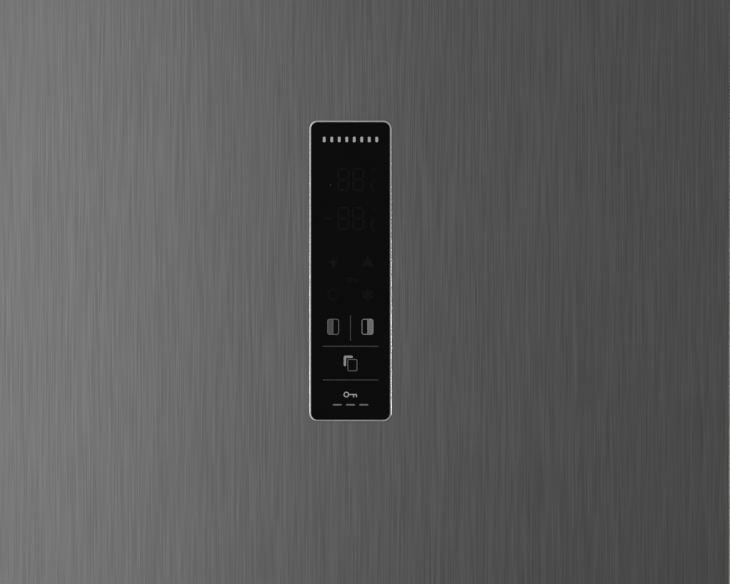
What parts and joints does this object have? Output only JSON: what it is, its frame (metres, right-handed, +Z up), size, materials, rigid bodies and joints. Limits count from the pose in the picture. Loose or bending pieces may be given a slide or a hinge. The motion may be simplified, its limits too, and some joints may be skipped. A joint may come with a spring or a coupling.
{
  "type": "side-by-side refrigerator",
  "caption": "Side-by-side refrigerator with dark brushed steel doors, a tall narrow black touch panel in the freezer door, recessed grips, drawers, glass shelves and its cooling circuit.",
  "frame": {"origin": "on the floor, in the middle of the outline seen from above", "axes": "+Z up, +Y from the doors to the back, +X to the right of someone who faces the doors"},
  "size_m": [0.895, 0.69, 1.776],
  "materials": {
    "door_steel": "brushed upright",
    "side_paint": "satin, fine texture",
    "back_sheet": "matte",
    "frame_paint": "satin",
    "zinc_steel": "zinc plated",
    "foam": "rigid insulating foam",
    "white_liner": "satin",
    "grey_trim": "satin",
    "clear_glass": "polished",
    "clear_plastic": "polished",
    "gasket_grey": "matte",
    "dark_plastic": "fine texture",
    "bezel_chrome": "polished",
    "black_glass": "polished",
    "fin_aluminium": "mill",
    "black_paint": "semi gloss",
    "copper_tube": "bright",
    "black_rubber": "matte",
    "grey_plastic": "moulded",
    "circuit_board": "solder mask"
  },
  "bodies": {
    "cabinet": {"left_side_panel": "side_paint", "right_side_panel": "side_paint", "top_panel": "side_paint", "back_panel": "back_sheet", "base_pan": "zinc_steel", "cabinet_foam": "foam", "freezer_liner": "white_liner", "fridge_liner": "white_liner", "front_frame": "frame_paint", "kick_plate": "dark_plastic", "freezer_shelf_glass": "clear_glass", "freezer_shelf_trims": "grey_trim", "fridge_shelf_glass": "clear_glass", "fridge_shelf_trims": "grey_trim", "freezer_duct_cover": "white_liner", "fridge_duct_cover": "white_liner", "evaporator": "fin_aluminium", "evaporator_fan_motor": "grey_plastic", "compressor": "black_paint", "compressor_grommets": "black_rubber", "condenser_coil": "black_paint", "condenser_fan_motor": "grey_plastic", "refrigerant_tubes": "copper_tube", "drain_pan": "dark_plastic", "machine_cover": "back_sheet", "main_board": "circuit_board", "main_board_cover": "back_sheet", "top_hinges": "zinc_steel", "bottom_hinges": "zinc_steel", "hinge_covers": "dark_plastic", "screws": "zinc_steel", "lamp_lenses": "clear_plastic"},
    "freezer_door": {"control_panel_bezel": "bezel_chrome", "control_panel_glass": "black_glass", "control_panel_board": "circuit_board", "control_panel_housing": "dark_plastic", "freezer_door_skin": "door_steel", "freezer_door_foam": "foam", "freezer_door_liner": "white_liner", "freezer_door_gasket": "gasket_grey", "freezer_door_caps": "dark_plastic", "freezer_door_handle": "dark_plastic", "freezer_door_bins": "clear_plastic"},
    "fridge_door": {"fridge_door_skin": "door_steel", "fridge_door_foam": "foam", "fridge_door_liner": "white_liner", "fridge_door_gasket": "gasket_grey", "fridge_door_caps": "dark_plastic", "fridge_door_handle": "dark_plastic", "fridge_door_bins": "clear_plastic"},
    "evaporator_fan": {"evaporator_fan": "grey_plastic"},
    "condenser_fan": {"condenser_fan": "grey_plastic"},
    "left_foot": {"left_foot": "dark_plastic"},
    "right_foot": {"right_foot": "dark_plastic"},
    "left_roller": {"left_roller": "dark_plastic"},
    "right_roller": {"right_roller": "dark_plastic"},
    "freezer_drawer_upper": {"freezer_drawer_upper": "clear_plastic"},
    "freezer_drawer_lower": {"freezer_drawer_lower": "clear_plastic"},
    "crisper_upper": {"crisper_upper": "clear_plastic"},
    "crisper_lower": {"crisper_lower": "clear_plastic"}
  },
  "joints": [
    {"name": "freezer_door_hinge", "type": "hinge", "parent": "cabinet", "child": "freezer_door", "pos_m": [-0.4255, -0.3138, 0.076], "axis": [0, 0, -1], "range_deg": [0, 130]},
    {"name": "fridge_door_hinge", "type": "hinge", "parent": "cabinet", "child": "fridge_door", "pos_m": [0.4255, -0.3138, 0.076], "axis": [0, 0, 1], "range_deg": [0, 130]},
    {"name": "freezer_drawer_upper_slide", "type": "slide", "parent": "cabinet", "child": "freezer_drawer_upper", "axis": [0, -1, 0], "range_m": [0, 0.227]},
    {"name": "freezer_drawer_lower_slide", "type": "slide", "parent": "cabinet", "child": "freezer_drawer_lower", "axis": [0, -1, 0], "range_m": [0, 0.17]},
    {"name": "crisper_upper_slide", "type": "slide", "parent": "cabinet", "child": "crisper_upper", "axis": [0, -1, 0], "range_m": [0, 0.227]},
    {"name": "crisper_lower_slide", "type": "slide", "parent": "cabinet", "child": "crisper_lower", "axis": [0, -1, 0], "range_m": [0, 0.17]},
    {"name": "evaporator_fan_spin", "type": "hinge", "parent": "cabinet", "child": "evaporator_fan", "pos_m": [-0.20875, 0.2205, 0.96], "axis": [0, 1, 0], "continuous": true},
    {"name": "condenser_fan_spin", "type": "hinge", "parent": "cabinet", "child": "condenser_fan", "pos_m": [0.084, 0.2425, 0.14825], "axis": [1, 0, 0], "continuous": true},
    {"name": "left_foot_turn", "type": "hinge", "parent": "cabinet", "child": "left_foot", "pos_m": [-0.3855, -0.2358, 0], "axis": [0, 0, 1], "continuous": true},
    {"name": "left_roller_spin", "type": "hinge", "parent": "cabinet", "child": "left_roller", "pos_m": [-0.3735, 0.292, 0.021], "axis": [1, 0, 0], "continuous": true},
    {"name": "right_foot_turn", "type": "hinge", "parent": "cabinet", "child": "right_foot", "pos_m": [0.3855, -0.2358, 0], "axis": [0, 0, 1], "continuous": true},
    {"name": "right_roller_spin", "type": "hinge", "parent": "cabinet", "child": "right_roller", "pos_m": [0.3735, 0.292, 0.021], "axis": [1, 0, 0], "continuous": true}
  ],
  "couplings": [
    {"joint": "freezer_drawer_upper_slide", "follows": "freezer_door_hinge", "m_per_rad": 0.1},
    {"joint": "freezer_drawer_lower_slide", "follows": "freezer_door_hinge", "m_per_rad": 0.0745},
    {"joint": "crisper_upper_slide", "follows": "fridge_door_hinge", "m_per_rad": 0.1},
    {"joint": "crisper_lower_slide", "follows": "fridge_door_hinge", "m_per_rad": 0.0745}
  ]
}
